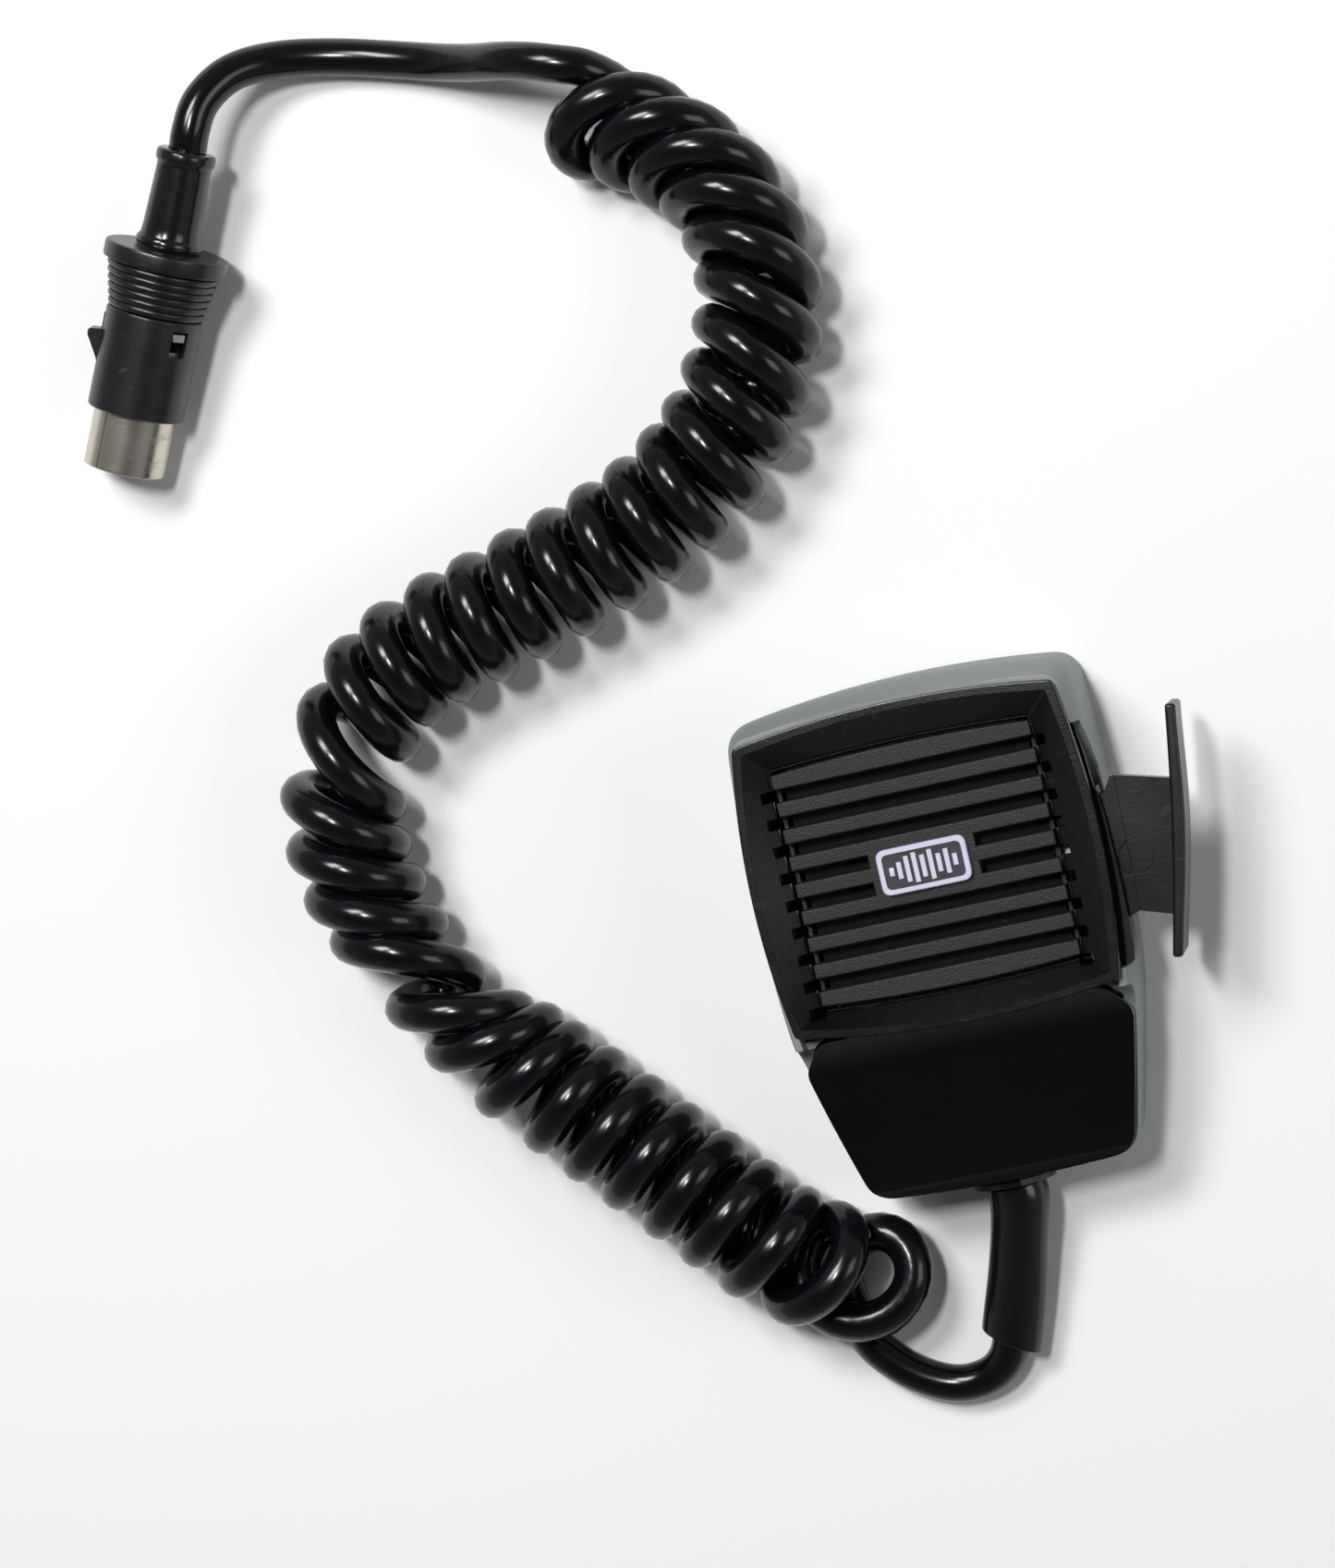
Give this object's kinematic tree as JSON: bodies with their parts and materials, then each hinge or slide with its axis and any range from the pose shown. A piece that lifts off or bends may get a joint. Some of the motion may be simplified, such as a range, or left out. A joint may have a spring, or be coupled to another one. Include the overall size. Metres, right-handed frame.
{
  "type": "hand microphone",
  "caption": "Palm-sized microphone with a ribbed front, a side talk lever, a curly cord and a round locking plug.",
  "frame": {"origin": "on the surface that the microphone lies on, under the middle of the microphone with its lever and outlet sleeve", "axes": "+Z out of the microphone's front, +Y towards its top end, +X towards the talk lever"},
  "size_m": [0.1659, 0.2369, 0.027],
  "materials": {
    "grey_plastic": "satin moulded, warm mid grey, worn paler along its front edges",
    "black_plastic": "fine-textured moulded black",
    "grille_plastic": "fine-textured moulded dark grey",
    "gloss_black": "smooth gloss",
    "cord_jacket": "soft gloss jacket",
    "sleeve_rubber": "soft, slightly warm black",
    "steel": "plated",
    "nickel": "nickel plated, lightly worn",
    "brass": "turned",
    "badge": null,
    "board": "green laminate",
    "cloth": "fine black weave",
    "pale_insulator": "moulded insulator",
    "lead_red": "insulated lead",
    "lead_white": "insulated lead and plunger",
    "lead_yellow": "insulated lead"
  },
  "bodies": {
    "root": {"rear_shell": "grey_plastic", "front_frame": "black_plastic", "grille": "grille_plastic", "chin_cover": "gloss_black", "badge_plate": "badge", "dust_screen": "cloth", "ptt_pivot_pin": "steel", "lever_spring": "steel", "circuit_board": "board", "board_screw_1": "steel", "board_screw_2": "steel", "ptt_switch": "black_plastic", "mic_capsule": "steel", "capsule_ring": "sleeve_rubber", "matching_transformer": "steel", "volume_trimmer": "board", "cord_grommet": "sleeve_rubber", "cord_sleeve": "sleeve_rubber", "cord_inner": "cord_jacket", "cable_clamp": "black_plastic", "clamp_screw_1": "steel", "clamp_screw_2": "steel", "stud_insert": "brass", "case_screw_1": "steel", "case_screw_2": "steel", "case_screw_3": "steel", "case_screw_4": "steel", "lead_red": "lead_red", "lead_yellow": "lead_yellow", "lead_white": "lead_white", "cord_tail_mic": "cord_jacket", "cord_coil": "cord_jacket", "cord_tail_plug": "cord_jacket", "plug_shell": "nickel", "plug_insulator": "pale_insulator", "plug_barrel": "black_plastic", "plug_window_tab": "steel", "plug_grip": "black_plastic", "plug_boot": "sleeve_rubber", "plug_pin_1": "nickel", "plug_pin_2": "nickel", "plug_pin_3": "nickel", "plug_pin_4": "nickel", "plug_pin_5": "nickel"},
    "lever": {"ptt_lever": "black_plastic"},
    "plunger": {"switch_plunger": "lead_white"},
    "latch": {"plug_latch": "black_plastic"}
  },
  "joints": [
    {"name": "ptt_press", "type": "hinge", "parent": "root", "child": "lever", "pos_m": [0.01595, 0.00686, 0.018], "axis": [0, 0, 1], "range_deg": [0, 5.5], "stiffness_Nm_per_rad": 1.2, "springref_deg": -5.73},
    {"name": "plunger_slide", "type": "slide", "parent": "root", "child": "plunger", "axis": [-1, 0, 0], "range_m": [0, 0.0016]},
    {"name": "latch_press", "type": "hinge", "parent": "root", "child": "latch", "pos_m": [-0.11959, 0.13947, 0.01083], "axis": [0.14, -0.1809, 0.9735], "range_deg": [0, 7], "stiffness_Nm_per_rad": 0.08, "springref_deg": -2.86}
  ],
  "couplings": [
    {"joint": "plunger_slide", "follows": "ptt_press", "m_per_rad": 0.0153}
  ]
}
